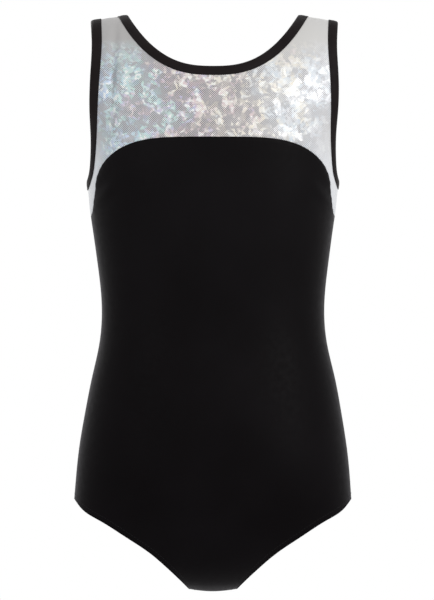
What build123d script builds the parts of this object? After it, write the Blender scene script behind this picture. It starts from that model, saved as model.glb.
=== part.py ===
from build123d import *
import math
import os

# A sleeveless gymnastics leotard, held in the shape that it has when it is worn.
# Millimetres. +Z is up, the wearer faces -Y, and the wearer's left is +X.
# The origin is on the shoulder line: midway between the straps, at the height of their tops.

# ---- Driving dimensions -------------------------------------------------------------------
LENGTH = 581.0              # shoulder line to the lowest point of the crotch
REACH = 160.0               # further than any part of the garment stands from the XZ plane
CLEAR = 200.0               # beyond the garment's sides and ends, for the cutting outlines

SPANDEX = 0.9               # thickness of the shell fabric
TAPE = 0.7                  # thickness of elastic, lining and overlocked seam allowance
BINDING = 0.7               # thickness of one layer of the folded binding
GAP = 0.1                   # clearance between one layer of cloth and the next

NECK_HALF_WIDTH = 88.0      # at the shoulder line
FRONT_NECK_DROP = 51.0
FRONT_NECK_POWER = 2.65     # how square the front scoop is
BACK_NECK_DROP = 101.0
BINDING_WIDTH = 8.5
HEM_WIDTH = 7.0             # turned hem round each leg

ARCH_DROP = 122.7           # top of the seam between yoke and body, in front
BACK_ARCH_DROP = 141.0
ARCH_FOOT_DROP = 204.0      # where both arches reach the side seam
ARCH_SPREAD = 0.15          # a seam allowance is this much narrower where the arch faces sideways

SEAM_HALF_WIDTH = 3.0       # overlocked seam allowance
SHOULDER_DEPTH = 9.0        # no shoulder seam lies lower than this
SIDE_SEAM_TOP = 182.0
SIDE_SEAM_BOTTOM = 484.0
LINING_BOTTOM = 560.0
GUSSET_TOP = 520.0
CROTCH_SEAM_TOP = 568.0

CARE_LABEL = (0.6, 22.0, 38.0)
CARE_LABEL_TOP = 296.0      # it hangs from the left side seam at the waist
CARE_LABEL_X = 110.1
SIZE_LABEL = (18.0, 0.6, 12.0)
SIZE_LABEL_TOP = 104.0      # it hangs inside the back neck
SIZE_LABEL_Y = 82.9

# The worn form, as horizontal sections: drop below the shoulder line, half width,
# depth to the front and depth to the back of the XZ plane.
SECTION_POWER = 2.5         # 2 would be an ellipse
SECTION_POINTS = 24
SECTIONS = (
    (0.2, 86.0, 4.0, 4.0),
    (1.5, 98.0, 12.0, 12.0),
    (4.0, 114.0, 21.0, 21.5),
    (9.0, 131.0, 31.5, 33.0),
    (18.0, 143.0, 43.5, 46.0),
    (35.0, 150.0, 58.0, 62.0),
    (60.0, 152.0, 72.0, 76.0),
    (85.0, 146.0, 80.0, 84.0),
    (110.0, 134.5, 84.5, 86.5),
    (135.0, 128.4, 86.5, 86.0),
    (160.0, 126.6, 87.0, 84.0),
    (185.0, 125.2, 86.0, 80.5),
    (215.0, 121.5, 83.0, 76.0),
    (250.0, 116.8, 79.0, 71.0),
    (295.0, 112.3, 75.5, 68.0),
    (330.0, 114.6, 77.5, 72.0),
    (365.0, 122.6, 83.0, 81.0),
    (400.0, 129.4, 88.0, 91.0),
    (440.0, 135.6, 91.5, 97.0),
    (480.0, 139.2, 90.0, 97.0),
    (510.0, 139.0, 84.0, 91.0),
    (535.0, 128.0, 73.0, 80.0),
    (552.0, 108.0, 61.0, 66.0),
    (565.0, 80.0, 47.0, 50.0),
    (573.0, 54.0, 34.0, 36.0),
    (577.5, 30.0, 22.0, 23.0),
    (580.6, 9.0, 8.0, 8.0),
)

# Edges seen from the front, on the +X side: distance from the middle, drop.
BACK_NECK = ((88.0, 0.0), (93.0, 12.0), (97.0, 36.0), (91.0, 66.0), (68.0, 89.0), (36.0, 99.0))
ARMHOLE = (
    (126.2, -6.0), (125.8, 8.0), (124.9, 25.0), (126.3, 60.0), (125.8, 97.0),
    (123.6, 124.0), (123.4, 146.0), (124.6, 160.0), (128.0, 168.0), (136.0, 171.0),
)
ARMHOLE_BAND = (            # the other side of the binding, which turns away round the ribs
    (117.0, -6.0), (116.6, 8.0), (115.7, 25.0), (117.8, 60.0), (119.0, 97.0),
    (119.9, 124.0), (121.2, 146.0), (122.6, 163.0), (126.0, 176.0), (136.0, 179.0),
)
ARCH = (
    (140.0, 212.0), (127.0, 208.0), (122.6, 200.0), (120.6, 186.0), (119.0, 172.0), (116.5, 160.0),
    (112.0, 150.5), (104.0, 141.5), (96.0, 135.5), (82.0, 129.0), (64.0, 124.8), (36.0, 122.9),
)
LEG_LINE = (
    (145.0, 482.0), (139.2, 488.5), (130.0, 499.5), (114.0, 510.0), (88.0, 526.0),
    (64.0, 541.6), (45.0, 558.0), (28.6, 574.0), (17.0, 587.0),
)

# Shares of the way across a binding or a hem, from its folded edge to its stitched edge
FOLD = 0.12                 # the fabric and the elastic inside begin here
ELASTIC_END = 0.76
PAST_HEM = 1.12             # lining and gusset stop here


# ---- The worn form and its layers of cloth -------------------------------------------------
def section(half_width, front, back, height):
    """One horizontal section, a rounded oval that starts at the middle of the back."""
    points = []
    for step in range(SECTION_POINTS):
        angle = math.tau * (0.25 + step / SECTION_POINTS)
        c, s = math.cos(angle), math.sin(angle)
        depth = front if s < 0 else back
        x = math.copysign(abs(c) ** (2 / SECTION_POWER), c) * half_width
        y = math.copysign(abs(s) ** (2 / SECTION_POWER), s) * depth
        points.append((x, y, height))
    shares = [step / SECTION_POINTS for step in range(SECTION_POINTS + 1)]
    return Face(Wire([Edge.make_spline(points, periodic=True, parameters=shares)]))


def form(offset):
    """The solid inside the worn form, grown by offset. A negative offset shrinks it."""
    middle = LENGTH / 2
    sections = []
    for drop, half_width, front, back in SECTIONS:
        height = (middle - drop) * (middle + offset) / middle - middle
        sections.append(section(half_width + offset, front + offset, back + offset, height))
    with BuildPart() as solid:
        loft(sections)
    return solid.part


def layer(outside, inside):
    """The cloth between two offsets of the worn form."""
    with BuildPart() as cloth:
        add(form(outside))
        add(form(inside), mode=Mode.SUBTRACT)
    return cloth.part


TAPE_OUT = -SPANDEX - GAP
TAPE_IN = TAPE_OUT - TAPE
FOLD_OUT = TAPE_IN - GAP
FOLD_IN = FOLD_OUT - BINDING
WRAP_OUT = GAP + BINDING

shell_layer = layer(0.0, -SPANDEX)
tape_layer = layer(TAPE_OUT, TAPE_IN)
fold_layer = layer(FOLD_OUT, FOLD_IN)
wrap_layer = layer(WRAP_OUT, FOLD_IN)
cavity_layer = layer(GAP, FOLD_OUT)


# ---- Outlines, drawn as seen from the front -------------------------------------------------
def parallel(points, distance):
    """The curve beside these points, on the right hand of their direction."""
    moved = []
    for index, (x, z) in enumerate(points):
        before = points[max(index - 1, 0)]
        after = points[min(index + 1, len(points) - 1)]
        dx, dz = after[0] - before[0], after[1] - before[1]
        size = math.hypot(dx, dz)
        moved.append((x + dz / size * distance, z - dx / size * distance))
    return moved


def up(curve, side=1):
    """Points given as distance and drop, as x and z on the +X or the -X side."""
    return [(side * x, -drop) for x, drop in curve]


def whole(half, bottom):
    """A neckline from the -X strap down through the middle and up to the +X strap."""
    return up(half, -1) + [(0.0, -bottom)] + up(half)[::-1]


def across(edge, band, share):
    """The curve that is this share of the way from an edge to the far side of its band."""
    return [
        (x + share * (far_x - x), z + share * (far_z - z))
        for (x, z), (far_x, far_z) in zip(edge, band)
    ]


def region(points, closing):
    """The area between a smooth curve and the straight lines that close it."""
    with BuildSketch() as area:
        with BuildLine():
            Spline(*points)
            Polyline(points[-1], *closing, points[0])
        make_face()
    return area.sketch


def strip(edge, band, start, stop):
    """The area between two curves that run beside an edge."""
    near = across(edge, band, start)
    far = across(edge, band, stop)
    with BuildSketch() as area:
        with BuildLine():
            Spline(*near)
            Line(near[-1], far[-1])
            Spline(*far[::-1])
            Line(far[0], near[0])
        make_face()
    return area.sketch


def front_neck_half():
    """Half of the front scoop, from the strap to beside the middle."""
    return [
        (NECK_HALF_WIDTH * part, FRONT_NECK_DROP * (1 - part**FRONT_NECK_POWER))
        for part in (1.0, 0.92, 0.8, 0.65, 0.45, 0.2)
    ]


def arch(top_drop, shift=0.0):
    """The seam between yoke and body, moved down by shift, from -X over the top to +X."""
    stretch = (ARCH_FOOT_DROP - top_drop) / (ARCH_FOOT_DROP - ARCH_DROP)
    half = [
        (x - ARCH_SPREAD * shift, ARCH_FOOT_DROP + (drop - ARCH_FOOT_DROP) * stretch + shift)
        for x, drop in ARCH
    ]
    return whole(half, top_drop + shift)


def below_arch(top_drop, shift=0.0):
    """Everything that lies under the yoke's seam."""
    curve = arch(top_drop, shift)
    left, right = curve[0], curve[-1]
    under = -LENGTH - CLEAR
    closing = [(CLEAR, right[1]), (CLEAR, under), (-CLEAR, under), (-CLEAR, left[1])]
    return region(curve, closing)


def neck_hole(half, bottom, share):
    """What the neck opening takes away, up to a share of the way across its binding."""
    edge = whole(half, bottom)
    curve = across(edge, parallel(edge, BINDING_WIDTH), share)
    return region(curve, [(curve[-1][0], CLEAR), (curve[0][0], CLEAR)])


def arm_hole(side, share):
    """What one armhole takes away."""
    curve = across(up(ARMHOLE, side), up(ARMHOLE_BAND, side), share)
    return region(curve, [(side * CLEAR, curve[-1][1]), (side * CLEAR, curve[0][1])])


def leg_hole(side, share):
    """What one leg opening takes away."""
    edge, band = leg_curves(side)
    curve = across(edge, band, share)
    under = -LENGTH - CLEAR
    return region(curve, [(curve[-1][0], under), (side * CLEAR, under), (side * CLEAR, curve[0][1])])


def leg_curves(side):
    """The leg line and the far side of its hem."""
    edge = up(LEG_LINE)
    band = parallel(edge, HEM_WIDTH)
    return [(side * x, z) for x, z in edge], [(side * x, z) for x, z in band]


# Each edge as seen from in front and from behind: facing, edge, far side of its band
SIDES = (("left", 1), ("right", -1))
FRONT_HALF = front_neck_half()
FRONT_EDGE = whole(FRONT_HALF, FRONT_NECK_DROP)
BACK_EDGE = whole(BACK_NECK, BACK_NECK_DROP)
NECK = (
    (1, FRONT_EDGE, parallel(FRONT_EDGE, BINDING_WIDTH)),
    (-1, BACK_EDGE, parallel(BACK_EDGE, BINDING_WIDTH)),
)


def both_ways(edge, band):
    """The same edge in front and behind."""
    return ((1, edge, band), (-1, edge, band))


def band_of(cloth, edges, start, stop):
    """The cloth between two shares of the way across a binding or a hem."""
    with BuildPart() as ring:
        for facing, edge, band in edges:
            with BuildSketch(Plane.XZ):
                add(strip(edge, band, start, stop))
            extrude(amount=facing * REACH)
        add(cloth, mode=Mode.INTERSECT)
    return ring.part


def write(part, name):
    part.label = name
    export_step(part, f"parts/{name}.step")


os.makedirs("parts", exist_ok=True)

# ---- Yokes, body panels and the seams between them -----------------------------------------
PANELS = (
    ("front", 1, FRONT_HALF, FRONT_NECK_DROP, ARCH_DROP),
    ("back", -1, BACK_NECK, BACK_NECK_DROP, BACK_ARCH_DROP),
)
for name, facing, neck, neck_drop, arch_drop in PANELS:
    with BuildPart() as yoke:
        with BuildSketch(Plane.XZ):
            Rectangle(2 * CLEAR, 2 * LENGTH)
            add(below_arch(arch_drop), mode=Mode.SUBTRACT)
            add(neck_hole(neck, neck_drop, FOLD), mode=Mode.SUBTRACT)
            for _, side in SIDES:
                add(arm_hole(side, FOLD), mode=Mode.SUBTRACT)
        extrude(amount=facing * REACH)
        add(shell_layer, mode=Mode.INTERSECT)
    write(yoke.part, f"{name}_yoke")

    with BuildPart() as body_panel:
        with BuildSketch(Plane.XZ):
            add(below_arch(arch_drop))
            for _, side in SIDES:
                add(leg_hole(side, 0.0), mode=Mode.SUBTRACT)
        extrude(amount=facing * REACH)
        add(shell_layer, mode=Mode.INTERSECT)
    write(body_panel.part, f"{name}_body_panel")

    with BuildPart() as yoke_seam:
        with BuildSketch(Plane.XZ.offset(facing * SEAM_HALF_WIDTH)):
            add(below_arch(arch_drop, -SEAM_HALF_WIDTH))
            add(below_arch(arch_drop, SEAM_HALF_WIDTH), mode=Mode.SUBTRACT)
        extrude(amount=facing * REACH)
        add(tape_layer, mode=Mode.INTERSECT)
    write(yoke_seam.part, f"{name}_yoke_seam")

# ---- Lining and gusset, inside the front and the crotch ------------------------------------
with BuildPart() as front_lining:
    with BuildSketch(Plane.XZ.offset(SEAM_HALF_WIDTH)):
        with Locations((0, -LINING_BOTTOM / 2)):
            Rectangle(2 * CLEAR, LINING_BOTTOM)
        add(below_arch(ARCH_DROP, SEAM_HALF_WIDTH), mode=Mode.INTERSECT)
        for _, side in SIDES:
            add(leg_hole(side, PAST_HEM), mode=Mode.SUBTRACT)
    extrude(amount=REACH)
    add(tape_layer, mode=Mode.INTERSECT)
write(front_lining.part, "front_lining")

with BuildPart() as gusset_lining:
    with BuildSketch(Plane.XZ):
        with Locations((0, -GUSSET_TOP - LENGTH / 2)):
            Rectangle(2 * CLEAR, LENGTH)
        for _, side in SIDES:
            add(leg_hole(side, PAST_HEM), mode=Mode.SUBTRACT)
    extrude(amount=REACH, both=True)
    add(fold_layer, mode=Mode.INTERSECT)
write(gusset_lining.part, "gusset_lining")

with BuildPart() as crotch_seam:
    with BuildSketch(Plane.XZ.offset(-SEAM_HALF_WIDTH)):
        with Locations((0, -CROTCH_SEAM_TOP - LENGTH / 2)):
            Rectangle(2 * CLEAR, LENGTH)
        for _, side in SIDES:
            add(leg_hole(side, PAST_HEM), mode=Mode.SUBTRACT)
    extrude(amount=2 * SEAM_HALF_WIDTH)
    add(tape_layer, mode=Mode.INTERSECT)
write(crotch_seam.part, "crotch_seam")

# ---- Neck: folded binding and the elastic in it --------------------------------------------
with BuildPart() as neck_binding:
    add(band_of(wrap_layer, NECK, 0.0, 1.0))
    add(band_of(cavity_layer, NECK, FOLD, 1.2), mode=Mode.SUBTRACT)
write(neck_binding.part, "neck_binding")

with BuildPart() as neck_elastic:
    add(band_of(tape_layer, NECK, FOLD, ELASTIC_END))
write(neck_elastic.part, "neck_elastic")

# ---- Armholes, legs and side seams, which are the same on both sides -----------------------
for name, side in SIDES:
    ARM = both_ways(up(ARMHOLE, side), up(ARMHOLE_BAND, side))
    LEG = both_ways(*leg_curves(side))

    with BuildPart() as armhole_binding:
        add(band_of(wrap_layer, ARM, 0.0, 1.0))
        add(band_of(cavity_layer, ARM, FOLD, 1.2), mode=Mode.SUBTRACT)
    write(armhole_binding.part, f"{name}_armhole_binding")

    with BuildPart() as armhole_elastic:
        add(band_of(tape_layer, ARM, FOLD, ELASTIC_END))
    write(armhole_elastic.part, f"{name}_armhole_elastic")

    with BuildPart() as leg_hem:
        add(band_of(fold_layer, LEG, 0.0, 1.0))
    write(leg_hem.part, f"{name}_leg_hem")

    with BuildPart() as leg_elastic:
        add(band_of(tape_layer, LEG, FOLD, 1.0))
    write(leg_elastic.part, f"{name}_leg_elastic")

    with BuildPart() as side_seam:
        with BuildSketch(Plane.XZ.offset(-SEAM_HALF_WIDTH)):
            with Locations((side * CLEAR / 2, -(SIDE_SEAM_TOP + SIDE_SEAM_BOTTOM) / 2)):
                Rectangle(CLEAR, SIDE_SEAM_BOTTOM - SIDE_SEAM_TOP)
        extrude(amount=2 * SEAM_HALF_WIDTH)
        add(tape_layer, mode=Mode.INTERSECT)
    write(side_seam.part, f"{name}_side_seam")

    with BuildPart() as shoulder_seam:
        with BuildSketch(Plane.XZ.offset(-SEAM_HALF_WIDTH)):
            with Locations((side * CLEAR / 2, 0)):
                Rectangle(CLEAR, 2 * SHOULDER_DEPTH)
            add(arm_hole(side, 1.0), mode=Mode.SUBTRACT)
            add(neck_hole(FRONT_HALF, FRONT_NECK_DROP, 1.2), mode=Mode.SUBTRACT)
        extrude(amount=2 * SEAM_HALF_WIDTH)
        add(tape_layer, mode=Mode.INTERSECT)
    write(shoulder_seam.part, f"{name}_shoulder_seam")

# ---- Blank labels --------------------------------------------------------------------------
with BuildPart() as care_label:
    with Locations((CARE_LABEL_X, 0, -CARE_LABEL_TOP - CARE_LABEL[2] / 2)):
        Box(*CARE_LABEL)
write(care_label.part, "care_label")

with BuildPart() as size_label:
    with Locations((0, SIZE_LABEL_Y, -SIZE_LABEL_TOP - SIZE_LABEL[2] / 2)):
        Box(*SIZE_LABEL)
write(size_label.part, "size_label")
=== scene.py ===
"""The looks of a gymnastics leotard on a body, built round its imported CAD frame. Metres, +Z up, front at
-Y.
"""

import math

import bmesh
import bpy
import numpy as np
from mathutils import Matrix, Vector
from mathutils.bvhtree import BVHTree
from mathutils.kdtree import KDTree


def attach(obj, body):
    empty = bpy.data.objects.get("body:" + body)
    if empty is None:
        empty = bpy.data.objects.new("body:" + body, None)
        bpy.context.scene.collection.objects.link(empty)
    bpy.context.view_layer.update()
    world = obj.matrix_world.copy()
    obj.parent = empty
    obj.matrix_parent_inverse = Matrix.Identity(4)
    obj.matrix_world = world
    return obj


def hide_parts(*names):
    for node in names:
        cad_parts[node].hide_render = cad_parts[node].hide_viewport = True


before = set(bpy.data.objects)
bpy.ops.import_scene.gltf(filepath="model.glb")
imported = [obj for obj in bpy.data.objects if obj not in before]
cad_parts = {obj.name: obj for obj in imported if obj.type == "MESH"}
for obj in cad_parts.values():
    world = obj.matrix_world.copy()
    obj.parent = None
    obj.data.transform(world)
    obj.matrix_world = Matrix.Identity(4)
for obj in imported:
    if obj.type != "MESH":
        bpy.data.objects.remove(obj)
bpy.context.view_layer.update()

MM = 0.001
BODY = "root"

# ---- The form inside the leotard: drop below the shoulder line, half width, depth in front, depth behind ----
POWER = 2.5
SECTIONS = np.array((
    (0.2, 86.0, 4.0, 4.0), (1.5, 98.0, 12.0, 12.0), (4.0, 114.0, 21.0, 21.5),
    (9.0, 131.0, 31.5, 33.0), (18.0, 143.0, 43.5, 46.0), (35.0, 150.0, 58.0, 62.0),
    (60.0, 152.0, 72.0, 76.0), (85.0, 146.0, 80.0, 84.0), (110.0, 134.5, 84.5, 86.5),
    (135.0, 128.4, 86.5, 86.0), (160.0, 126.6, 87.0, 84.0), (185.0, 125.2, 86.0, 80.5),
    (215.0, 121.5, 83.0, 76.0), (250.0, 116.8, 79.0, 71.0), (295.0, 112.3, 75.5, 68.0),
    (330.0, 114.6, 77.5, 72.0), (365.0, 122.6, 83.0, 81.0), (400.0, 129.4, 88.0, 91.0),
    (440.0, 135.6, 91.5, 97.0), (480.0, 139.2, 90.0, 97.0), (510.0, 139.0, 84.0, 91.0),
    (535.0, 128.0, 73.0, 80.0), (552.0, 108.0, 61.0, 66.0), (565.0, 80.0, 47.0, 50.0),
    (573.0, 54.0, 34.0, 36.0), (577.5, 30.0, 22.0, 23.0), (580.6, 9.0, 8.0, 8.0),
    (580.9, 4.0, 4.0, 4.0), (581.0, 0.4, 0.4, 0.4),
))
LENGTH = 581.0
ROW_STEP = 2.1              # millimetres between the rows of the form's mesh
COLUMNS = 400
RUN_STARTS = 150.0          # the drop at which the length down the cloth is zero

# ---- Edges seen from the front, on the +X side: distance from the middle, drop ----
NECK_HALF_WIDTH, FRONT_NECK_DROP, FRONT_NECK_POWER = 85.8, 51.6, 2.65
BACK_NECK = ((85.8, 0.0), (91.5, 12.0), (97.0, 36.0), (91.0, 66.0), (68.0, 89.0), (36.0, 99.0))
BACK_NECK_DROP = 101.0
ARMHOLE = (
    (126.2, -6.0), (125.8, 8.0), (124.9, 25.0), (126.3, 60.0), (125.8, 97.0),
    (123.6, 124.0), (123.4, 146.0), (124.6, 160.0), (128.0, 168.0), (136.0, 171.0),
)
LEG_LINE = (
    (145.0, 481.0), (139.2, 488.2), (132.0, 497.2), (114.0, 508.8), (88.0, 525.4),
    (64.0, 541.6), (45.0, 558.0), (28.6, 574.0), (17.0, 587.0),
)
ARCH = (
    (140.0, 212.0), (127.0, 208.0), (122.6, 200.0), (120.6, 186.0), (119.0, 172.0), (116.5, 160.0),
    (112.0, 150.5), (104.0, 141.5), (96.0, 135.5), (82.0, 129.0), (64.0, 124.8), (36.0, 122.9),
)
ARCH_DROP, BACK_ARCH_DROP, ARCH_FOOT_DROP = 122.7, 141.0, 204.0
FRONT, BACK = -1, 1
LEFT, RIGHT = 1, -1         # the wearer's left is +X
SIDES = (("left", LEFT), ("right", RIGHT))
PANELS = (("front", FRONT), ("back", BACK))

# On the wearer's right strap the armhole line lies further in, and joins the common line past this drop
STRAP_SHIFT, STRAP_SHIFT_END, STRAP_SHIFT_FADE = 2.8, 95.0, 14.0


def natural_spline(knots, values, at):
    """A smooth curve through values at knots, read at the points in at."""
    count = len(knots)
    gaps = np.diff(knots)
    matrix = np.eye(count)
    right = np.zeros((count, values.shape[1]))
    slopes = np.diff(values, axis=0) / gaps[:, None]
    for i in range(1, count - 1):
        matrix[i, i - 1:i + 2] = gaps[i - 1], 2 * (gaps[i - 1] + gaps[i]), gaps[i]
        right[i] = 6 * (slopes[i] - slopes[i - 1])
    bend = np.linalg.solve(matrix, right)
    i = np.clip(np.searchsorted(knots, at) - 1, 0, count - 2)
    h = gaps[i][:, None]
    after = ((knots[i + 1] - at)[:, None]) / h
    before = 1 - after
    cubic = (after**3 - after) * bend[i] + (before**3 - before) * bend[i + 1]
    return after * values[i] + before * values[i + 1] + cubic * h**2 / 6


def smooth_line(points, step=1.0):
    """Points close together on a smooth curve through a few points."""
    values = np.array(points, float)
    knots = np.concatenate(([0.0], np.cumsum(np.linalg.norm(np.diff(values, axis=0), axis=1))))
    count = max(int(knots[-1] / step), 8)
    return natural_spline(knots, values, np.linspace(0.0, knots[-1], count))


class Form:
    """The surface that every layer of cloth follows, as rows of rings."""

    def __init__(self):
        chord = np.linalg.norm(np.diff(SECTIONS[:, :3], axis=0), axis=1)
        knots = np.concatenate(([0.0], np.cumsum(chord)))
        self.rows = int(knots[-1] / ROW_STEP)
        table = natural_spline(knots, SECTIONS, np.linspace(0.0, knots[-1], self.rows))
        self.drop, self.width, self.front, self.back = table.T
        self.drop = np.maximum.accumulate(self.drop)
        angle = math.tau * np.arange(COLUMNS) / COLUMNS
        c, s = np.cos(angle), np.sin(angle)
        across = np.sign(c) * np.abs(c) ** (2 / POWER)
        deep = np.sign(s) * np.abs(s) ** (2 / POWER)
        depth = np.where(s[None, :] < 0, self.front[:, None], self.back[:, None])
        self.raw = np.empty((self.rows, COLUMNS, 3))
        self.raw[..., 0] = self.width[:, None] * across
        self.raw[..., 1] = depth * deep
        self.raw[..., 2] = -self.drop[:, None]
        self.points = self.raw.copy()
        self.measure()

    def measure(self):
        """Normals, and how far each point lies round the ring from the middle of its side."""
        p = self.points
        around = np.roll(p, -1, axis=1) - np.roll(p, 1, axis=1)
        down = np.gradient(p, axis=0)
        normal = np.cross(down, around)
        normal /= np.maximum(np.linalg.norm(normal, axis=2, keepdims=True), 1e-9)
        self.normals = normal
        length = np.linalg.norm(np.roll(self.raw, -1, axis=1) - self.raw, axis=2)
        total = np.concatenate((np.zeros((self.rows, 1)), np.cumsum(length, axis=1)), axis=1)
        quarter, three = COLUMNS // 4, 3 * COLUMNS // 4
        columns = np.arange(COLUMNS)
        behind = columns < COLUMNS // 2
        middle = np.where(behind[None, :], total[:, quarter:quarter + 1], total[:, three:three + 1])
        self.girth = np.where(behind[None, :], middle - total[:, :-1], total[:, :-1] - middle)
        down_length = np.linalg.norm(np.diff(self.raw, axis=0), axis=2)
        run = np.concatenate((np.zeros((1, COLUMNS)), np.cumsum(down_length, axis=0)))
        self.run = run - run[np.searchsorted(self.drop, RUN_STARTS)]

    def read(self, field, places):
        """A field of the form at (row, column) places, which need not be whole numbers."""
        row = np.clip(places[:, 0], 0, self.rows - 1.001)
        column = places[:, 1] % COLUMNS
        r, c = row.astype(int), column.astype(int) % COLUMNS
        fr, fc = (row - r), (column - np.floor(column))
        if field.ndim == 3:
            fr, fc = fr[:, None], fc[:, None]
        c2 = (c + 1) % COLUMNS
        near = field[r, c] * (1 - fc) + field[r, c2] * fc
        far = field[r + 1, c] * (1 - fc) + field[r + 1, c2] * fc
        return near * (1 - fr) + far * fr

    def locate(self, x, drop, facing):
        """The (row, column) place of points given as seen from the front."""
        row = np.interp(drop, self.drop, np.arange(self.rows))
        width = np.interp(row, np.arange(self.rows), self.width)
        ratio = np.clip(np.abs(x) / width, 0.0, 1.0) ** (POWER / 2)
        angle = np.arccos(np.clip(np.sign(x) * ratio, -1.0, 1.0))
        if facing == FRONT:
            angle = math.tau - angle
        return np.stack((row, angle / math.tau * COLUMNS), axis=1)


form = Form()


# ---- Outlines in the front view ---------------------------------------------------------------
def mirrored(half, bottom=None):
    """A line from the -X side through the middle to the +X side, from its +X half."""
    left = [(-x, drop) for x, drop in half]
    middle = [] if bottom is None else [(0.0, bottom)]
    return left + middle + [(x, drop) for x, drop in half][::-1]


def front_neck():
    half = [(NECK_HALF_WIDTH * part, FRONT_NECK_DROP * (1 - part**FRONT_NECK_POWER))
            for part in (1.0, 0.92, 0.8, 0.65, 0.45, 0.2)]
    return smooth_line(mirrored(half, FRONT_NECK_DROP))


def back_neck():
    return smooth_line(mirrored(BACK_NECK, BACK_NECK_DROP))


def arch(top_drop):
    """The seam between yoke and body, out past both sides of the body."""
    stretch = (ARCH_FOOT_DROP - top_drop) / (ARCH_FOOT_DROP - ARCH_DROP)
    half = [(x, ARCH_FOOT_DROP + (drop - ARCH_FOOT_DROP) * stretch) for x, drop in ARCH]
    return smooth_line(mirrored(half, top_drop))


def side_line(half, side):
    line = smooth_line(half)
    line[:, 0] *= side
    return line


FAR = 400.0                 # well outside the garment
NECK_LINES = {FRONT: front_neck(), BACK: back_neck()}
ARCH_LINES = {FRONT: arch(ARCH_DROP), BACK: arch(BACK_ARCH_DROP)}
ARM_LINES = {side: side_line(ARMHOLE, side) for side in (LEFT, RIGHT)}
past_shift = (ARM_LINES[RIGHT][:, 1] - STRAP_SHIFT_END) / STRAP_SHIFT_FADE
ARM_LINES[RIGHT][:, 0] += STRAP_SHIFT / (1.0 + np.exp(past_shift))
LEG_LINES = {side: side_line(LEG_LINE, side) for side in (LEFT, RIGHT)}


def closed(line, corners):
    return np.concatenate((line, np.array(corners, float)))


def neck_area(facing):
    line = NECK_LINES[facing]
    return closed(line, [(line[-1, 0], -FAR), (line[0, 0], -FAR)])


def arm_area(side):
    line = ARM_LINES[side]
    return closed(line, [(side * FAR, line[-1, 1]), (side * FAR, line[0, 1])])


def leg_area(side):
    line = LEG_LINES[side]
    return closed(line, [(line[-1, 0], FAR + LENGTH), (side * FAR, FAR + LENGTH), (side * FAR, line[0, 1])])


def under_arch(facing):
    line = ARCH_LINES[facing]
    foot = line[0, 1]
    return closed(line, [(FAR, foot), (FAR, FAR + LENGTH), (-FAR, FAR + LENGTH), (-FAR, foot)])


def outside(places, area):
    """Distance from an area in the front view, negative within it."""
    best = np.full(len(places), 1e9)
    inside = np.zeros(len(places), bool)
    ends = np.roll(area, -1, axis=0)
    for (ax, az), (bx, bz) in zip(area, ends):
        dx, dz = bx - ax, bz - az
        along = ((places[:, 0] - ax) * dx + (places[:, 1] - az) * dz) / max(dx * dx + dz * dz, 1e-12)
        along = np.clip(along, 0.0, 1.0)
        gap = np.hypot(places[:, 0] - ax - along * dx, places[:, 1] - az - along * dz)
        best = np.minimum(best, gap)
        if dz:
            crosses = (az > places[:, 1]) != (bz > places[:, 1])
            at = ax + (places[:, 1] - az) / dz * dx
            inside ^= crosses & (places[:, 0] < at)
    return np.where(inside, -best, best)


# ---- Soft folds and dips in the cloth ----------------------------------------------------------
def resample(points, step, is_closed=True):
    """The same line with evenly spaced points."""
    line = np.concatenate((points, points[:1])) if is_closed else points
    length = np.concatenate(([0.0], np.cumsum(np.linalg.norm(np.diff(line, axis=0), axis=1))))
    count = max(int(length[-1] / step), 8)
    at = np.linspace(0.0, length[-1], count, endpoint=not is_closed)
    return np.stack([np.interp(at, length, line[:, k]) for k in range(3)], axis=1)


def places_on(dense, facing):
    """Places on the form along a line of the front view, where the line is over the body."""
    width = np.interp(dense[:, 1], form.drop, form.width)
    keep = (np.abs(dense[:, 0]) <= width) & (dense[:, 1] >= form.drop[0]) & (dense[:, 1] <= form.drop[-1])
    return form.locate(dense[keep, 0], dense[keep, 1], facing)


FINE_STEP = 0.25


def fine(line):
    """The same line with points FINE_STEP apart."""
    length = np.concatenate(([0.0], np.cumsum(np.linalg.norm(np.diff(line, axis=0), axis=1))))
    at = np.arange(0.0, length[-1], FINE_STEP)
    return np.stack([np.interp(at, length, line[:, k]) for k in range(2)], axis=1)


def loop_places(front_line, back_line):
    """A closed loop of places: down the front line and back up the line behind."""
    front = places_on(fine(front_line), FRONT)
    back = places_on(fine(back_line), BACK)
    return np.concatenate((front, back[::-1]))


def seam_tree(facing):
    points = form.read(form.raw, places_on(fine(ARCH_LINES[facing]), facing))
    tree = KDTree(len(points))
    for i, p in enumerate(points):
        tree.insert(p, i)
    tree.balance()
    return tree, points


# Pulled folds on the straps: place across, size and depth
STRAP_FOLDS = (
    (-101.0, 3.2, -2.4), (-94.5, 4.0, 1.5), (-108.0, 4.0, 1.1), (104.0, 4.5, -1.1), (-70.0, 9.0, -0.6),
)
SEAM_REACH = 16.0           # a seam puckers the cloth within this distance


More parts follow.
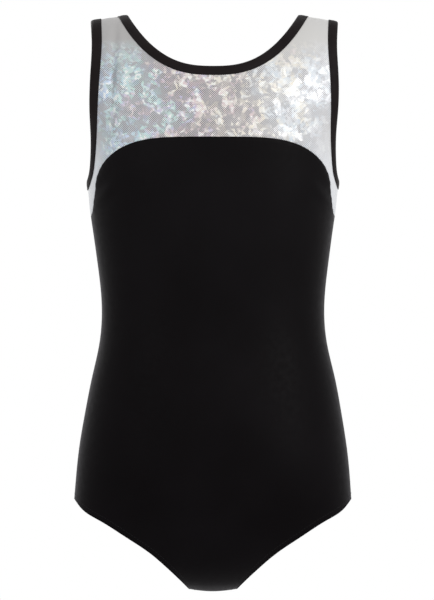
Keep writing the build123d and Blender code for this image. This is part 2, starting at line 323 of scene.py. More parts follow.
def add_folds():
    """Moves the form's points along its normals: soft folds, seams that dip, and slack cloth."""
    x, y, z = form.raw[..., 0], form.raw[..., 1], form.raw[..., 2]
    lift = 0.5 * np.sin(x / 31.0 + 1.3 * np.sin(z / 57.0)) * np.sin(z / 43.0 + 0.6)
    front = y < 0
    strap = np.exp(-((z + 58.0) / 42.0) ** 2)
    for centre, size, depth in STRAP_FOLDS:
        lift += np.where(front, depth * np.exp(-((x - centre - 0.06 * (z + 60)) / size) ** 2) * strap, 0.0)
    under = np.exp(-((z + 176.0) / 16.0) ** 2) * np.exp(-((np.abs(x) - 112.0) / 12.0) ** 2)
    lift += 0.7 * under * np.sin((z + np.abs(x)) / 4.2)
    for facing in (FRONT, BACK):
        tree, points = seam_tree(facing)
        near = (np.sign(y) == facing) & (z < -ARCH_DROP + 30) & (z > -ARCH_FOOT_DROP - 25)
        for r, c in np.argwhere(near):
            _, index, gap = tree.find(form.raw[r, c])
            if gap < SEAM_REACH:
                ripple = math.sin(index * FINE_STEP / 1.15 + 1.7 * math.sin(index * FINE_STEP / 9.0))
                lift[r, c] += 0.16 * ripple * math.exp(-gap / 5.0) - 0.75 * math.exp(-((gap / 1.4) ** 2))
    form.points = form.raw + form.normals * lift[..., None]
    form.measure()


add_folds()

ids = np.arange(form.rows * COLUMNS).reshape(form.rows, COLUMNS)
right_ids = np.roll(ids, -1, axis=1)
QUADS = np.stack((ids[:-1], right_ids[:-1], right_ids[1:], ids[1:]), axis=-1).reshape(-1, 4)
FLAT_POINTS = form.points.reshape(-1, 3)
FLAT_NORMALS = form.normals.reshape(-1, 3)
SURFACE = BVHTree.FromPolygons([tuple(p) for p in FLAT_POINTS], [tuple(q) for q in QUADS.tolist()])


def on_surface(point):
    """The nearest point of the form, and the form's smooth normal there."""
    place, _, index, _ = SURFACE.find_nearest(Vector(point))
    corners = QUADS[index]
    gaps = np.linalg.norm(FLAT_POINTS[corners] - np.array(place), axis=1) + 1e-6
    weight = (1 / gaps) / np.sum(1 / gaps)
    normal = weight @ FLAT_NORMALS[corners]
    return np.array(place), normal / np.linalg.norm(normal)


# ---- Meshes -------------------------------------------------------------------------------------
def new_object(name, points, faces, material, cloth=None, turn_out=False):
    """A smooth-shaded mesh object. Points are in millimetres."""
    mesh = bpy.data.meshes.new(name)
    mesh.from_pydata([tuple(p * MM) for p in np.asarray(points)], [], [tuple(f) for f in faces])
    mesh.polygons.foreach_set("use_smooth", [True] * len(mesh.polygons))
    if cloth is not None:
        layer = mesh.attributes.new("cloth", "FLOAT_VECTOR", "POINT")
        layer.data.foreach_set("vector", (np.asarray(cloth) * MM).astype(np.float32).ravel())
    mesh.materials.append(material)
    mesh.validate()
    if turn_out:
        work = bmesh.new()
        work.from_mesh(mesh)
        bmesh.ops.recalc_face_normals(work, faces=work.faces)
        work.to_mesh(mesh)
        work.free()
    piece = bpy.data.objects.new(name, mesh)
    bpy.context.scene.collection.objects.link(piece)
    return piece


def clip(places, faces, areas_out, areas_in, margin):
    """Cuts a patch of the form: away from some areas of the front view, and into others."""
    for area, sign, gap in [(a, 1.0, margin) for a in areas_out] + [(a, -1.0, 0.0) for a in areas_in]:
        raw = form.read(form.raw, places)
        value = sign * outside(np.stack((raw[:, 0], -raw[:, 2]), axis=1), area) - gap
        extra, cuts, kept = [], {}, []
        for face in faces:
            signs = [value[i] >= 0 for i in face]
            if all(signs):
                kept.append(face)
                continue
            if not any(signs):
                continue
            polygon = []
            for a, b in zip(face, face[1:] + face[:1]):
                if value[a] >= 0:
                    polygon.append(a)
                if (value[a] >= 0) != (value[b] >= 0):
                    key = (min(a, b), max(a, b))
                    if key not in cuts:
                        first, last = key
                        share = value[first] / (value[first] - value[last])
                        cuts[key] = len(places) + len(extra)
                        extra.append(places[first] + share * (places[last] - places[first]))
                    polygon.append(cuts[key])
            if len(polygon) > 2:
                kept.append(polygon)
        if extra:
            places = np.concatenate((places, np.array(extra)))
        faces = kept
    used = sorted({i for face in faces for i in face})
    renumber = {old: new for new, old in enumerate(used)}
    return places[used], [[renumber[i] for i in face] for face in faces]


def patch(facing):
    """Half of the form, in front or behind, as places and quads."""
    half = COLUMNS // 2
    first = 0 if facing == BACK else half
    grid = np.stack(np.meshgrid(np.arange(form.rows), np.arange(half + 1) + first, indexing="ij"), axis=-1)
    wide = half + 1
    faces = [[r * wide + c, (r + 1) * wide + c, (r + 1) * wide + c + 1, r * wide + c + 1]
             for r in range(form.rows - 1) for c in range(half)]
    return grid.reshape(-1, 2).astype(float), faces


def near_row(places, faces, low, high):
    """The faces whose drop is between two values, to save cutting the rest."""
    drop = np.interp(places[:, 0], np.arange(form.rows), form.drop)
    return [f for f in faces if low <= drop[f[0]] <= high and low <= drop[f[2]] <= high]


def shell(name, places, faces, outer, inner, material, inside=None):
    """A panel with real thickness between two offsets from the form, and maybe another fabric inside."""
    points = form.read(form.points, places)
    normals = form.read(form.normals, places)
    normals /= np.linalg.norm(normals, axis=1, keepdims=True)
    girth = form.read(form.girth[..., None], places)[:, 0]
    count = len(places)
    both = np.concatenate((points + normals * outer, points + normals * inner))
    run = form.read(form.run[..., None], places)[:, 0]
    cloth = np.stack((girth, -run, np.zeros(count)), axis=1)
    edges = {}
    for face in faces:
        for a, b in zip(face, face[1:] + face[:1]):
            edges[(a, b)] = edges.get((a, b), 0) + 1
    all_faces = [list(f) for f in faces]
    all_faces += [[i + count for i in reversed(f)] for f in faces]
    for a, b in edges:
        if (b, a) not in edges:
            all_faces.append([b, a, a + count, b + count])
    piece = new_object(name, both, all_faces, material, np.concatenate((cloth, cloth)))
    if inside is not None:
        piece.data.materials.append(inside)
        for polygon in piece.data.polygons:
            polygon.material_index = int(min(polygon.vertices) >= count)
    return piece


def smoothed(points, times, is_closed):
    for _ in range(times):
        if is_closed:
            points = 0.5 * points + 0.25 * (np.roll(points, 1, axis=0) + np.roll(points, -1, axis=0))
        else:
            inner = 0.5 * points[1:-1] + 0.25 * (points[:-2] + points[2:])
            points = np.concatenate((points[:1], inner, points[-1:]))
    return points


def unit(vectors):
    return vectors / np.linalg.norm(vectors, axis=1, keepdims=True)


class Edge:
    """A line on the form with, at each point, the way across the cloth and the way out of it."""

    def __init__(self, places, step, hole, is_closed=True, soften=6):
        self.is_closed = is_closed
        self.step = step
        raw = form.read(form.points, places)
        self.points = smoothed(resample(raw, step, is_closed), soften, is_closed)
        settled = [on_surface(p) for p in self.points]
        self.points = np.array([s[0] for s in settled])
        self.normals = unit(smoothed(np.array([s[1] for s in settled]), 3, is_closed))
        if is_closed:
            along = np.roll(self.points, -1, axis=0) - np.roll(self.points, 1, axis=0)
        else:
            along = np.gradient(self.points, axis=0)
        across = unit(np.cross(self.normals, along))
        away = self.points - np.array(hole, float)
        if np.sum(np.sign(np.sum(across * away, axis=1))) < 0:
            across = -across
        self.across = unit(smoothed(across, 4, is_closed))

    def at(self, width, height):
        """The line moved across the cloth by width and away from it by height."""
        if width <= 0.0:
            return self.points + self.across * width + self.normals * height
        moved = []
        for p, t in zip(self.points, self.across):
            place, normal = on_surface(p + t * width)
            moved.append(place + normal * height)
        return np.array(moved)


def ribbon(name, edge, profile, material):
    """A strip of cloth along an edge: each profile point is its width across and height."""
    rows = np.array([edge.at(w, h) for w, h in profile])
    around, count = rows.shape[0], rows.shape[1]
    points = rows.transpose(1, 0, 2).reshape(-1, 3)
    faces = []
    last = count if edge.is_closed else count - 1
    for i in range(last):
        j = (i + 1) % count
        for k in range(around):
            m = (k + 1) % around
            faces.append([i * around + k, i * around + m, j * around + m, j * around + k])
    if not edge.is_closed:
        faces.append(list(range(around))[::-1])
        faces.append([(count - 1) * around + k for k in range(around)])
    length = np.repeat(np.arange(count) * edge.step, around)
    width = np.tile([w for w, _ in profile], count)
    cloth = np.stack((length, width, np.zeros(len(width))), axis=1)
    return new_object(name, points, faces, material, cloth, turn_out=True)


def stitches(name, lines, material, length=2.5, pitch=3.3, radius=0.2):
    """Separate stitches of thread, laid along lines that follow the cloth."""
    points, faces, cloth = [], [], []
    profile = ((0.0, 0.25), (0.2, 0.85), (0.5, 1.0), (0.8, 0.85), (1.0, 0.25))
    sides = 6
    for line, normals in lines:
        ends = np.concatenate((line, line[:1]))
        run = np.concatenate(([0.0], np.cumsum(np.linalg.norm(np.diff(ends, axis=0), axis=1))))
        normal_ends = np.concatenate((normals, normals[:1]))
        for start in np.arange(0.0, run[-1] - pitch, pitch):
            base = len(points)
            middle = np.array([np.interp(start + length / 2, run, normal_ends[:, k]) for k in range(3)])
            first = np.array([np.interp(start, run, ends[:, k]) for k in range(3)])
            last = np.array([np.interp(start + length, run, ends[:, k]) for k in range(3)])
            along = (last - first) / np.linalg.norm(last - first)
            side = np.cross(along, middle)
            for share, size in profile:
                centre = first + (last - first) * share + middle * (0.28 * math.sin(math.pi * share) - 0.12)
                for k in range(sides):
                    turn = math.tau * k / sides
                    points.append(centre + radius * size * (math.cos(turn) * side + math.sin(turn) * middle))
                    cloth.append((start + length * share, turn, 0.0))
            rings = len(profile)
            for i in range(rings - 1):
                for k in range(sides):
                    m = (k + 1) % sides
                    faces.append([base + i * sides + k, base + i * sides + m,
                                  base + (i + 1) * sides + m, base + (i + 1) * sides + k])
            faces.append([base + k for k in range(sides)][::-1])
            faces.append([base + (rings - 1) * sides + k for k in range(sides)])
    return new_object(name, points, faces, material, cloth, turn_out=True)


def settle(piece, slot, *nodes):
    """Puts a finished piece on the body and hides the CAD nodes it stands for; slot, its finish, is not used.
    """
    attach(piece, BODY)
    if nodes:
        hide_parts(*nodes)
    return piece


# ---- Materials ----------------------------------------------------------------------------------
class Paint:
    """A short way to write a node material."""

    def __init__(self, name):
        self.material = bpy.data.materials.new(name)
        self.material.use_nodes = True
        self.tree = self.material.node_tree
        self.shader = self.tree.nodes["Principled BSDF"]
        self.cloth = self.add("ShaderNodeAttribute", attribute_name="cloth").outputs["Vector"]

    def add(self, kind, inputs=None, **settings):
        node = self.tree.nodes.new(kind)
        for key, value in settings.items():
            setattr(node, key, value)
        for key, value in (inputs or {}).items():
            self.put(node.inputs[key], value)
        return node

    def put(self, socket, value):
        if isinstance(value, bpy.types.NodeSocket):
            self.tree.links.new(value, socket)
        else:
            socket.default_value = value

    def set(self, **values):
        for key, value in values.items():
            self.put(self.shader.inputs[key.replace("_", " ")], value)

    def math(self, operation, first, second=0.0, clamp=False):
        node = self.add("ShaderNodeMath", {0: first, 1: second}, operation=operation, use_clamp=clamp)
        return node.outputs[0]

    def mix(self, factor, first, second):
        node = self.add("ShaderNodeMix", data_type="RGBA")
        self.put(node.inputs["Factor"], factor)
        self.put(node.inputs["A"], first)
        self.put(node.inputs["B"], second)
        return node.outputs["Result"]

    def noise(self, scale, detail=2.0):
        node = self.add("ShaderNodeTexNoise", {"Vector": self.cloth, "Scale": scale, "Detail": detail})
        return node.outputs["Fac"]

    def cells(self, scale, vector=None):
        return self.add("ShaderNodeTexVoronoi", {"Vector": vector or self.cloth, "Scale": scale},
                        voronoi_dimensions="2D")

    def spread(self, value, low, high, to_low=0.0, to_high=1.0):
        node = self.add("ShaderNodeMapRange", {"Value": value, "From Min": low, "From Max": high,
                                               "To Min": to_low, "To Max": to_high})
        return node.outputs["Result"]

    def bump(self, height, depth, strength=1.0, normal=None):
        node = self.add("ShaderNodeBump", {"Height": height, "Distance": depth, "Strength": strength})
        if normal is not None:
            self.put(node.inputs["Normal"], normal)
        return node.outputs["Normal"]


def rgb(red, green, blue):
    return (red, green, blue, 1.0)


LOOP_DEPTH = 0.08 * MM
MESH_PITCH, MESH_DEPTH = 2.2 * MM, 0.05 * MM      # the foil's fine mesh of dots
TEAR = 5.0 * MM             # how far the edges of the foil's splinters wander


def knit(name, dark, light, rough, shine, sheen, loop=0.9 * MM):
    """Plain stretch knit: fine loops, a slight change of tone, a soft sheen, and painted shade that dims its
    shine towards the bottom.
    """
    paint = Paint(name)
    slow = paint.noise(9.0, 3.0)
    loops = paint.cells(1.0 / loop).outputs["Distance"]
    tone = paint.mix(paint.spread(slow, 0.35, 0.65), rgb(*dark), rgb(*light))
    paint.set(Base_Color=paint.mix(paint.spread(loops, 0.0, 0.7, 0.25, 0.0), tone, rgb(*light)))
    paint.set(Roughness=paint.spread(paint.noise(160.0), 0.3, 0.7, rough - 0.05, rough + 0.05))
    paint.set(Normal=paint.bump(loops, LOOP_DEPTH, 0.6), Sheen_Weight=sheen, Sheen_Roughness=0.3)
    # Painted shade: the shine is strongest high on the garment and dims towards its bottom, standing in for
    # how the light falls.
    height = paint.add("ShaderNodeSeparateXYZ", {0: paint.add("ShaderNodeNewGeometry").outputs["Position"]})
    painted_shine_fade = paint.spread(height.outputs["Z"], -0.56, -0.20, 0.45, 1.0)
    paint.set(Sheen_Tint=rgb(0.93, 0.88, 1.0), Specular_IOR_Level=paint.math("MULTIPLY", painted_shine_fade, shine))
    return paint.material


def splinters(paint, scale, vector):
    """Three random values for each of the torn cells of that scale."""
    node = paint.add("ShaderNodeSeparateColor", {0: paint.cells(scale, vector).outputs["Color"]})
    return node.outputs[0], node.outputs[1], node.outputs[2]


def band(paint, value, stops):
    """A colour ramp with these stops."""
    ramp = paint.add("ShaderNodeValToRGB", {0: value})
    elements = ramp.color_ramp.elements
    while len(elements) < len(stops):
        elements.new(0.5)
    for element, (place, colour) in zip(elements, stops):
        element.position = place
        element.color = rgb(*colour)
    return ramp.outputs["Color"]


def hologram():
    """Foil-printed spandex: pastel splinters of their own tones, under a fine mesh of dark dots.

    Its hues, its calmer patches, its lit splinters and the grey tone across it are fixed by place on the
    garment, as one view shows them: painted reflection and painted shade, where the real foil's colours
    change with angle. The splinter shapes and the dots are print.
    """
    paint = Paint("hologram_foil")
    wander = paint.add("ShaderNodeTexNoise", {"Vector": paint.cloth, "Scale": 120.0, "Detail": 1.0})
    shift = paint.add("ShaderNodeVectorMath", {0: wander.outputs["Color"], 1: (0.5, 0.5, 0.5)},
                      operation="SUBTRACT")
    push = paint.add("ShaderNodeVectorMath", {0: shift.outputs[0]}, operation="SCALE")
    push.inputs["Scale"].default_value = TEAR
    torn = paint.add("ShaderNodeVectorMath", {0: paint.cloth, 1: push.outputs[0]}, operation="ADD").outputs[0]
    big = splinters(paint, 80.0, torn)
    mid = splinters(paint, 215.0, torn)
    fleck = splinters(paint, 430.0, torn)

    # Painted reflection: the splinters' hue follows the place across the garment, standing in for colours
    # that change with angle; each splinter's own jump of tone is print.
    across = paint.add("ShaderNodeSeparateXYZ", {0: paint.cloth}).outputs["X"]
    place = paint.spread(across, -0.135, 0.135)
    drift = paint.math("MULTIPLY", paint.math("SUBTRACT", paint.noise(30.0, 1.0), 0.5), 0.95)
    jump = paint.math("MULTIPLY", paint.math("SUBTRACT", mid[0], 0.5), 0.22)
    jump = paint.math("ADD", jump, paint.math("MULTIPLY", paint.math("SUBTRACT", fleck[0], 0.5), 0.12))
    hue = paint.math("ADD", place, paint.math("ADD", drift, jump), clamp=True)
    pastel = band(paint, hue, (
        (0.0, (0.40, 0.52, 0.72)), (0.12, (0.36, 0.62, 0.68)), (0.22, (0.40, 0.64, 0.55)),
        (0.31, (0.42, 0.42, 0.66)), (0.40, (0.66, 0.47, 0.50)), (0.50, (0.70, 0.63, 0.58)),
        (0.62, (0.76, 0.70, 0.56)), (0.72, (0.70, 0.69, 0.66)), (0.86, (0.50, 0.57, 0.64)),
        (1.0, (0.56, 0.57, 0.60)),
    ))
    # The foil's grey with painted shade: darkest just to the wearer's right of the middle, lighter towards
    # both sides.
    silver_and_painted_shade = band(paint, paint.math("ADD", place, paint.math("MULTIPLY", drift, 0.3)), (
        (0.0, (0.46, 0.47, 0.50)), (0.25, (0.42, 0.425, 0.44)), (0.40, (0.385, 0.365, 0.375)),
        (0.60, (0.42, 0.405, 0.41)), (0.75, (0.50, 0.50, 0.51)), (1.0, (0.51, 0.51, 0.53)),
    ))

    # Painted light: quieter patches on the strap tops and low down at the sides, where no splinters are lit,
    # are set by place.
    height = paint.add("ShaderNodeSeparateXYZ", {0: paint.add("ShaderNodeNewGeometry").outputs["Position"]})
    on_strap = paint.spread(height.outputs["Z"], -0.056, -0.024)
    to_side = paint.spread(paint.math("ABSOLUTE", height.outputs["X"]), 0.098, 0.120)
    low_down = paint.spread(height.outputs["Z"], -0.085, -0.125)
    painted_calm_patch = paint.math("MAXIMUM", on_strap, paint.math("MULTIPLY", to_side, low_down))
    painted_lively_patch = paint.math("SUBTRACT", 1.0, painted_calm_patch)

    # Painted highlight: splinters lit by chance, with more of them lit towards both sides, and small sparks
    # on top.
    cluster = paint.math("ADD", paint.math("MULTIPLY", big[1], 0.34), paint.math("MULTIPLY", mid[1], 0.36))
    flash = paint.math("ADD", cluster, paint.math("MULTIPLY", fleck[1], 0.3))
    more = paint.math("MULTIPLY", paint.math("ABSOLUTE", paint.math("SUBTRACT", place, 0.42)), 0.2)
    flash = paint.math("ADD", flash, more)
    lit = paint.math("MULTIPLY", paint.spread(flash, 0.52, 0.64), painted_lively_patch)
    spark = paint.math("MULTIPLY", paint.spread(fleck[2], 0.62, 0.78), paint.spread(cluster, 0.38, 0.48))
    spark = paint.math("MULTIPLY", spark, painted_lively_patch)

    parts = paint.add("ShaderNodeSeparateXYZ", {0: paint.cloth})
    pitch = math.tau / MESH_PITCH
    wave_x = paint.math("SINE", paint.math("MULTIPLY", parts.outputs["X"], pitch))
    wave_y = paint.math("SINE", paint.math("MULTIPLY", parts.outputs["Y"], pitch))
    dots = paint.spread(paint.math("MULTIPLY", wave_x, wave_y), -0.05, 0.32)

    hazy = paint.mix(paint.spread(mid[2], 0.3, 1.0, 0.0, 0.4), silver_and_painted_shade, pastel)
    # Painted shade and light in the quieter patches: grey darker towards the wearer's right, lighter towards
    # the wearer's left, and lighter again low down.
    quiet_patch_painted_shade = band(paint, place, ((0.0, (0.33, 0.325, 0.325)), (0.3, (0.30, 0.29, 0.285)),
                                     (0.7, (0.42, 0.41, 0.395)), (1.0, (0.46, 0.455, 0.45))))
    painted_light_low_down = paint.spread(height.outputs["Z"], -0.11, -0.15)
    quiet_patch_painted_shade = paint.mix(painted_light_low_down, quiet_patch_painted_shade, rgb(0.53, 0.54, 0.56))
    base = paint.mix(painted_calm_patch, hazy, quiet_patch_painted_shade)
    shard = paint.mix(paint.spread(mid[2], 0.0, 1.0, 0.0, 0.5), pastel, rgb(0.58, 0.58, 0.57))
    # The lit splinters and the sparks, dimmer towards the wearer's left, are laid over the print as painted
    # highlights.
    foil = paint.mix(paint.math("MULTIPLY", lit, 0.7), base, shard)
    foil = paint.mix(paint.math("MULTIPLY", spark, paint.spread(place, 0.5, 1.0, 0.85, 0.4)), foil,
                     rgb(0.72, 0.73, 0.71))
    # The dots are print; they are painted fainter on lit splinters, in the quieter patches and towards the
    # wearer's left, as painted glare.
    meshed = paint.math("MULTIPLY", dots, paint.spread(lit, 0.0, 1.0, 0.95, 0.42))
    meshed = paint.math("MULTIPLY", meshed, paint.spread(painted_calm_patch, 0.0, 1.0, 1.0, 0.08))
    meshed = paint.math("MULTIPLY", meshed, paint.spread(place, 0.5, 0.9, 1.0, 0.62))
    paint.set(Base_Color=paint.mix(meshed, foil, rgb(0.05, 0.05, 0.055)))
    paint.set(Metallic=0.15, Specular_IOR_Level=0.4)
    paint.set(Roughness=paint.spread(fleck[0], 0.0, 1.0, 0.3, 0.5))

    facets = paint.cells(150.0, torn).outputs["Color"]
    lean = paint.add("ShaderNodeVectorMath", {0: facets, 1: (0.5, 0.5, 0.5)}, operation="SUBTRACT")
    less = paint.add("ShaderNodeVectorMath", {0: lean.outputs[0]}, operation="SCALE")
    paint.put(less.inputs["Scale"], paint.math("MULTIPLY", painted_lively_patch, 0.3))
    geometry = paint.add("ShaderNodeNewGeometry")
    leaning = paint.add("ShaderNodeVectorMath", {0: geometry.outputs["Normal"], 1: less.outputs[0]},
                        operation="ADD")
    facing = paint.add("ShaderNodeVectorMath", {0: leaning.outputs[0]}, operation="NORMALIZE")
    paint.set(Normal=paint.bump(dots, MESH_DEPTH, 0.4, facing.outputs[0]))
    return paint.material


def ribbed(name, dark, light, rough, pitch, depth):
    """Tape, elastic or binding: fine ribs that run along it."""
    paint = Paint(name)
    parts = paint.add("ShaderNodeSeparateXYZ", {0: paint.cloth})
    ribs = paint.math("SINE", paint.math("MULTIPLY", parts.outputs["X"], math.tau / pitch))
    tone = paint.mix(paint.spread(paint.noise(30.0, 3.0), 0.35, 0.65), rgb(*dark), rgb(*light))
    paint.set(Base_Color=paint.mix(paint.spread(ribs, -1.0, 1.0, 0.0, 0.3), tone, rgb(*light)))
    paint.set(Roughness=paint.spread(paint.noise(220.0), 0.3, 0.7, rough - 0.06, rough + 0.06))
    paint.set(Normal=paint.bump(ribs, depth, 0.5), Specular_IOR_Level=0.07)
    return paint.material


BLACK = knit("black_spandex", (0.0019, 0.0014, 0.0017), (0.0029, 0.0023, 0.0028), 0.52, 0.043, 0.055)
FOIL = hologram()
WRONG_SIDE = knit("foil_wrong_side", (0.36, 0.36, 0.37), (0.44, 0.44, 0.45), 0.7, 0.3, 0.05)
BINDING = ribbed("black_binding", (0.0052, 0.0034, 0.0036), (0.0085, 0.0062, 0.0064),
                 0.6, 1.1 * MM, 0.07 * MM)
LINING = knit("lining_tricot", (0.012, 0.012, 0.013), (0.02, 0.02, 0.021), 0.75, 0.1, 0.0, loop=0.7 * MM)
ELASTIC = ribbed("elastic_tape", (0.62, 0.6, 0.55), (0.78, 0.76, 0.72), 0.7, 1.6 * MM, 0.1 * MM)
THREAD = ribbed("black_thread", (0.006, 0.006, 0.0065), (0.014, 0.014, 0.015), 0.5, 0.6 * MM, 0.06 * MM)
SATIN = ribbed("label_satin", (0.55, 0.55, 0.54), (0.66, 0.66, 0.65), 0.35, 0.5 * MM, 0.02 * MM)


# ---- Panels ---------------------------------------------------------------------------------------
ARMS = [arm_area(LEFT), arm_area(RIGHT)]
LEGS = [leg_area(LEFT), leg_area(RIGHT)]
SPANDEX_THICK, LINING_THICK, GUSSET_THICK = 0.9, 0.6, 0.5
TAPE_OUT, FOLD_OUT = -1.0, -1.8                   # outer faces of the lining and of the gusset
GUSSET_DROP = 505.0
LINING_BOTTOM = GUSSET_DROP + 12.0
EDGE_GAP, LEG_GAP = 0.5, 0.3                      # from a panel to its neck and arm lines, and to its legs
PAST_HEM = 7.5              # lining and gusset stop this far from the leg line


def on_both_sides(first_drop, last_drop, side):
    """Places down one side of the form, where front and back meet."""
    rows = np.interp(np.arange(first_drop, last_drop, 0.5), form.drop, np.arange(form.rows))
    return np.stack((rows, np.full(len(rows), 0.0 if side > 0 else COLUMNS / 2)), axis=1)


for side_name, facing in PANELS:
    all_places, all_faces = patch(facing)
    top = near_row(all_places, all_faces, -1.0, ARCH_FOOT_DROP + 14)
    places, faces = clip(all_places, top, [neck_area(facing)] + ARMS, [], EDGE_GAP)
    places, faces = clip(places, faces, [under_arch(facing)], [], 0.0)
    name = f"{side_name}_yoke"
    settle(shell(name, places, faces, 0.0, -SPANDEX_THICK, FOIL, WRONG_SIDE), "hologram_spandex", name)
    low = near_row(all_places, all_faces, ARCH_DROP - 8, LENGTH + 1)
    places, faces = clip(all_places, low, LEGS, [under_arch(facing)], LEG_GAP)
    name = f"{side_name}_body_panel"
    settle(shell(name, places, faces, 0.0, -SPANDEX_THICK, BLACK), "black_spandex", name)
    if facing == FRONT:
        low = near_row(all_places, all_faces, ARCH_DROP, LINING_BOTTOM)
        places, faces = clip(all_places, low, LEGS, [under_arch(facing)], PAST_HEM)
        lining = shell("front_lining", places, faces, TAPE_OUT, TAPE_OUT - LINING_THICK, LINING)
        settle(lining, "lining_tricot", "front_lining")

places = np.concatenate([patch(BACK)[0], patch(FRONT)[0]])
shift = len(patch(BACK)[0])
faces = patch(BACK)[1] + [[i + shift for i in f] for f in patch(FRONT)[1]]
faces = near_row(places, faces, GUSSET_DROP, LENGTH + 1)
places, faces = clip(places, faces, LEGS, [], PAST_HEM)
gusset = shell("gusset_lining", places, faces, FOLD_OUT, FOLD_OUT - GUSSET_THICK, LINING)
settle(gusset, "lining_tricot", "gusset_lining")


# ---- Bindings, hems and the elastic inside them ---------------------------------------------------
# Profiles: width across the cloth from the edge, and height out of it
BINDING_SHAPE = (
    (9.5, 0.1), (9.4, 0.65), (8.6, 0.9), (7.6, 0.72), (6.6, 1.0), (4.6, 1.2), (2.6, 1.2), (1.0, 1.0),
    (0.2, 0.5), (-0.25, -0.4), (0.1, -1.4), (1.0, -1.9), (3.0, -2.1), (6.5, -2.05), (9.2, -1.95), (9.4, -1.2),
)
HEM_SHAPE = (
    (1.6, 0.02), (0.8, 0.14), (0.2, 0.02), (-0.15, -0.3), (-0.3, -0.9), (-0.1, -1.7), (0.5, -2.3),
    (1.4, -2.5), (4.0, -2.5), (6.6, -2.45), (7.0, -2.2), (6.6, -1.9), (1.8, -1.9), (0.8, -1.3), (0.9, -0.8),
)
ELASTIC_SHAPE = ((1.4, -1.0), (6.0, -1.0), (6.0, -1.6), (1.4, -1.6))
ALLOWANCE_SHAPE = (
    (-3.2, -1.0), (-1.6, -0.95), (1.6, -0.95), (3.2, -1.0), (3.2, -1.7), (0.0, -1.85), (-3.2, -1.7),
)
UNDER_SHAPE = ((0.2, -0.95), (3.0, -0.95), (5.6, -1.0), (5.8, -1.35), (5.6, -1.7), (3.0, -1.8), (0.2, -1.7))


BINDING_HEIGHT, HEM_ROW = 0.72, (6.0, 0.02)       # where the rows of stitches lie
NECK_WIDE, ARM_WIDE = 1.08, {LEFT: 1.04, RIGHT: 1.14}      # bindings, as shares of BINDING_SHAPE
NECK_ROW, ARM_ROW = 8.2, 7.6
BOUND_STEP, YOKE_STEP, SEAM_STEP = 1.3, 1.6, 2.0  # between the points of each kind of edge
ARM_SOFTEN = 30             # rounds of smoothing: front and back lines meet at an angle under the arm
SIDE_SEAM_TOP, SIDE_SEAM_BOTTOM, CROTCH_SEAM_TOP = 174.0, 478.0, 578.6
STRAP_INNER, STRAP_OUTER = 98.0, 116.0            # the shoulder seam's ends, from the middle
STRAP_ROWS = 40             # the form's first rows, which only widen


def bound(name, edge, shape, fabric, slot, row, wide=1.0):
    """A folded edge, its elastic and its stitching."""
    shape = [(w * wide, h) for w, h in shape]
    cover = "hem" if "leg" in name else "binding"
    fold = f"{name}_{cover}"
    settle(ribbon(fold, edge, shape, fabric), slot, fold)
    elastic = f"{name}_elastic"
    settle(ribbon(elastic, edge, ELASTIC_SHAPE, ELASTIC), "elastic_tape", elastic)
    line = edge.at(*row)
    settle(stitches(f"{name}_stitching", [(line, edge.normals)], THREAD), "thread")


neck = Edge(loop_places(NECK_LINES[FRONT], NECK_LINES[BACK]), BOUND_STEP, (0.0, 0.0, 0.0))
bound("neck", neck, BINDING_SHAPE, BINDING, "binding_spandex", (NECK_ROW, BINDING_HEIGHT), NECK_WIDE)
for word, side in SIDES:
    loop = loop_places(ARM_LINES[side], ARM_LINES[side])
    arm = Edge(loop, BOUND_STEP, (side * 126.0, 0.0, -85.0), soften=ARM_SOFTEN)
    row = (ARM_ROW * ARM_WIDE[side], BINDING_HEIGHT)
    bound(f"{word}_armhole", arm, BINDING_SHAPE, BINDING, "binding_spandex", row, ARM_WIDE[side])
    leg = Edge(loop_places(LEG_LINES[side], LEG_LINES[side]), BOUND_STEP, (side * 110.0, 0.0, -560.0))
    bound(f"{word}_leg", leg, HEM_SHAPE, BLACK, "black_spandex", HEM_ROW)
    side_places = on_both_sides(SIDE_SEAM_TOP, SIDE_SEAM_BOTTOM, side)
    seam = Edge(side_places, SEAM_STEP, (0.0, -200.0, -330.0), False)
    name = f"{word}_side_seam"
    settle(ribbon(name, seam, ALLOWANCE_SHAPE, THREAD), "thread", name)
    top = np.interp([STRAP_INNER, STRAP_OUTER], form.width[:STRAP_ROWS], form.drop[:STRAP_ROWS])
    seam = Edge(on_both_sides(top[0], top[1], side), SEAM_STEP, (side * 105.0, -200.0, 0.0), False)
    name = f"{word}_shoulder_seam"
    settle(ribbon(name, seam, ALLOWANCE_SHAPE, THREAD), "thread", name)

for side_name, facing in PANELS:
    arch_places = places_on(fine(ARCH_LINES[facing]), facing)
    seam = Edge(arch_places, YOKE_STEP, (0.0, facing * 80.0, -350.0), False)
    name = f"{side_name}_yoke_seam"
    settle(ribbon(name, seam, UNDER_SHAPE, THREAD), "thread", name)

half = on_both_sides(CROTCH_SEAM_TOP, LENGTH, LEFT)
bottom = np.concatenate((half, on_both_sides(CROTCH_SEAM_TOP, LENGTH, RIGHT)[::-1]))
seam = Edge(bottom, SEAM_STEP, (0.0, -200.0, -LENGTH), False)
settle(ribbon("crotch_seam", seam, ALLOWANCE_SHAPE, THREAD), "thread", "crotch_seam")


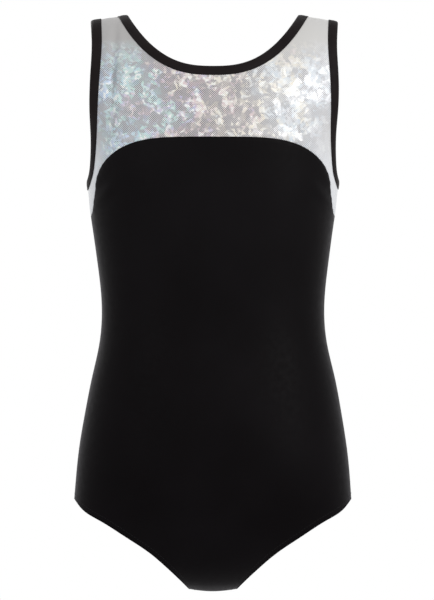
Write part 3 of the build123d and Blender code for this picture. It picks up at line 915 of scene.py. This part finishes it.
# ---- Labels ---------------------------------------------------------------------------------------
def label(name, centre, across, down, out, width, height, bow):
    """A small blank tape with a soft curl, sewn in along its top."""
    steps = 12
    centre, across, down, out = (np.array(v, float) for v in (centre, across, down, out))
    points, cloth = [], []
    for layer in (0.15, -0.15):
        for i in range(steps + 1):
            for k in range(steps + 1):
                u, v = k / steps - 0.5, i / steps
                curl = bow * v * v + 0.3 * math.sin(5.0 * u + 2.0 * v) * v
                points.append(centre + across * u * width + down * (v - 0.5) * height + out * (layer + curl))
                cloth.append((v * height, u * width, 0.0))
    wide = steps + 1
    count = wide * wide
    quads = [[i * wide + k, i * wide + k + 1, (i + 1) * wide + k + 1, (i + 1) * wide + k]
             for i in range(steps) for k in range(steps)]
    faces = quads + [[n + count for n in reversed(q)] for q in quads]
    rim = ([k for k in range(steps)] + [i * wide + steps for i in range(steps)]
           + [steps * wide + k for k in range(steps, 0, -1)] + [i * wide for i in range(steps, 0, -1)])
    for a, b in zip(rim, rim[1:] + rim[:1]):
        faces.append([b, a, a + count, b + count])
    return settle(new_object(name, points, faces, SATIN, cloth, turn_out=True), "label_satin", name)


label("care_label", (109.2, 0.0, -315.0), (0, 1, 0), (0, 0, -1), (-1, 0, 0), 22.0, 38.0, 1.4)
label("size_label", (0.0, 81.6, -110.0), (1, 0, 0), (0, 0, -1), (0, -1, 0), 18.0, 12.0, 0.8)


# ---- Floor, light and camera ----------------------------------------------------------------------
def plain(name, colour, rough):
    material = bpy.data.materials.new(name)
    material.use_nodes = True
    shader = material.node_tree.nodes["Principled BSDF"]
    shader.inputs["Base Color"].default_value = colour
    shader.inputs["Roughness"].default_value = rough
    return material


FLOOR_HALF, FLOOR_Z = 1.5, -1.18
corners = [(x * FLOOR_HALF, y * FLOOR_HALF, FLOOR_Z) for x, y in ((-1, -1), (1, -1), (1, 1), (-1, 1))]
mesh = bpy.data.meshes.new("floor")
mesh.from_pydata(corners, [], [(0, 1, 2, 3)])
mesh.materials.append(plain("floor_paper", rgb(0.86, 0.86, 0.86), 0.8))
floor = bpy.data.objects.new("floor", mesh)
bpy.context.scene.collection.objects.link(floor)

world = bpy.data.worlds.new("studio")
world.use_nodes = True
world.node_tree.nodes["Background"].inputs["Color"].default_value = rgb(1.0, 1.0, 1.0)
world.node_tree.nodes["Background"].inputs["Strength"].default_value = 1.0
bpy.context.scene.world = world
bpy.context.scene.view_settings.view_transform = "Standard"
bpy.context.scene.view_settings.look = "None"


def area_light(name, place, aim, size, power, colour):
    lamp = bpy.data.lights.new(name, "AREA")
    lamp.shape = "DISK"
    lamp.size = size
    lamp.energy = power
    lamp.color = colour
    light = bpy.data.objects.new(name, lamp)
    light.location = place
    light.rotation_euler = (Vector(aim) - Vector(place)).to_track_quat("-Z", "Y").to_euler()
    bpy.context.scene.collection.objects.link(light)


area_light("key", (1.9, -2.0, 0.9), (0.0, 0.0, -0.2), 0.5, 42.0, (1.0, 1.0, 0.99))
area_light("fill", (-1.6, -2.4, 0.6), (0.0, 0.0, -0.2), 0.9, 9.0, (0.97, 0.98, 1.0))
area_light("back", (-1.2, 2.3, 0.9), (0.0, 0.0, -0.2), 0.8, 22.0, (1.0, 1.0, 1.0))

DISTANCE, VIEW_HEIGHT, SENSOR = 18.0, 0.6055, 36.0
lens = bpy.data.cameras.new("camera")
lens.sensor_width = SENSOR
lens.lens = SENSOR * DISTANCE / VIEW_HEIGHT
lens.clip_start, lens.clip_end = 0.5, 60.0
camera = bpy.data.objects.new("camera", lens)
camera.location = (0.004, -DISTANCE, -0.2869)     # level with the middle of the garment
camera.rotation_euler = (math.radians(90.0), 0.0, 0.0)
bpy.context.scene.collection.objects.link(camera)
bpy.context.scene.camera = camera
